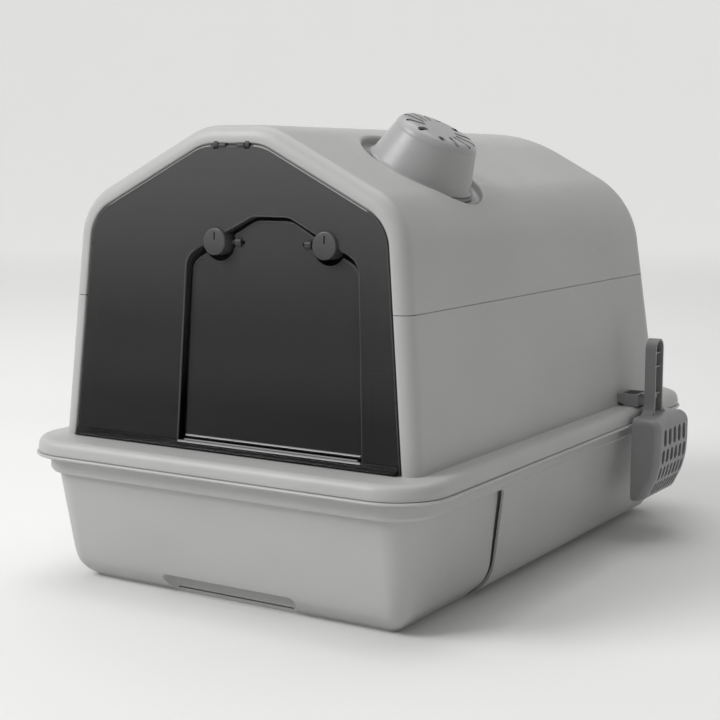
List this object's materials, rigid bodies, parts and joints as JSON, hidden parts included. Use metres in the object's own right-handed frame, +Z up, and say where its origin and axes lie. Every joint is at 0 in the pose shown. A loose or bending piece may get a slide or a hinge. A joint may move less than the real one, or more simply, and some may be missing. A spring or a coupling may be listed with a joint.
{
  "type": "cat litter box with hood",
  "caption": "Hooded cat litter box: pull-out litter drawer, lift-off hood, smoked flip-up front with swinging flap, roof deodoriser and side scoop.",
  "frame": {"origin": "centre of the base's footprint, on the ground", "axes": "+X to the scoop's side, +Y to the back (the entrance faces -Y), +Z up"},
  "size_m": [0.4514, 0.594, 0.4173],
  "materials": {
    "light_plastic": "fine matt grain",
    "mid_plastic": "fine matt grain",
    "smoked_plastic": "smooth, smoked, see-through",
    "soft_rubber": "soft matt",
    "carbon_felt": "felted",
    "steel": "plain"
  },
  "bodies": {
    "base": {"base_frame": "light_plastic", "non_slip_feet": "soft_rubber"},
    "drawer": {"litter_drawer": "light_plastic"},
    "hood": {"lower_hood": "light_plastic", "upper_hood": "light_plastic", "seal_ring": "soft_rubber", "scoop_holder": "mid_plastic", "holder_screws": "steel"},
    "panel": {"front_panel": "smoked_plastic", "panel_hinge_pins": "steel", "flap_hinge_blocks": "smoked_plastic"},
    "flap": {"cat_flap": "smoked_plastic", "flap_pins": "steel"},
    "deodoriser": {"deodoriser_base": "light_plastic", "filter_grille": "light_plastic", "carbon_filter": "carbon_felt"},
    "cap": {"deodoriser_cap": "light_plastic"},
    "scoop": {"scoop": "mid_plastic"}
  },
  "joints": [
    {"name": "drawer_slide", "type": "slide", "parent": "base", "child": "drawer", "axis": [0, -1, 0], "range_m": [0, 0.3]},
    {"name": "hood_lift", "type": "slide", "parent": "base", "child": "hood", "axis": [0, 0, 1], "range_m": [0, 0.3]},
    {"name": "front_panel_swing", "type": "hinge", "parent": "hood", "child": "panel", "pos_m": [0, -0.24525, 0.38923], "axis": [-1, 0, 0], "range_deg": [0, 85]},
    {"name": "flap_swing", "type": "hinge", "parent": "panel", "child": "flap", "pos_m": [0.04, -0.24274, 0.30917], "axis": [1, 0, 0], "range_deg": [-70, 70]},
    {"name": "deodoriser_lift", "type": "slide", "parent": "hood", "child": "deodoriser", "axis": [0.4596, 0, 0.8881], "range_m": [0, 0.06]},
    {"name": "deodoriser_cap_twist", "type": "hinge", "parent": "deodoriser", "child": "cap", "pos_m": [0.104, -0.109, 0.37108], "axis": [0.4596, 0, 0.8881], "range_deg": [0, 60]},
    {"name": "scoop_pull", "type": "slide", "parent": "hood", "child": "scoop", "axis": [1, 0, 0], "range_m": [0, 0.07]}
  ]
}
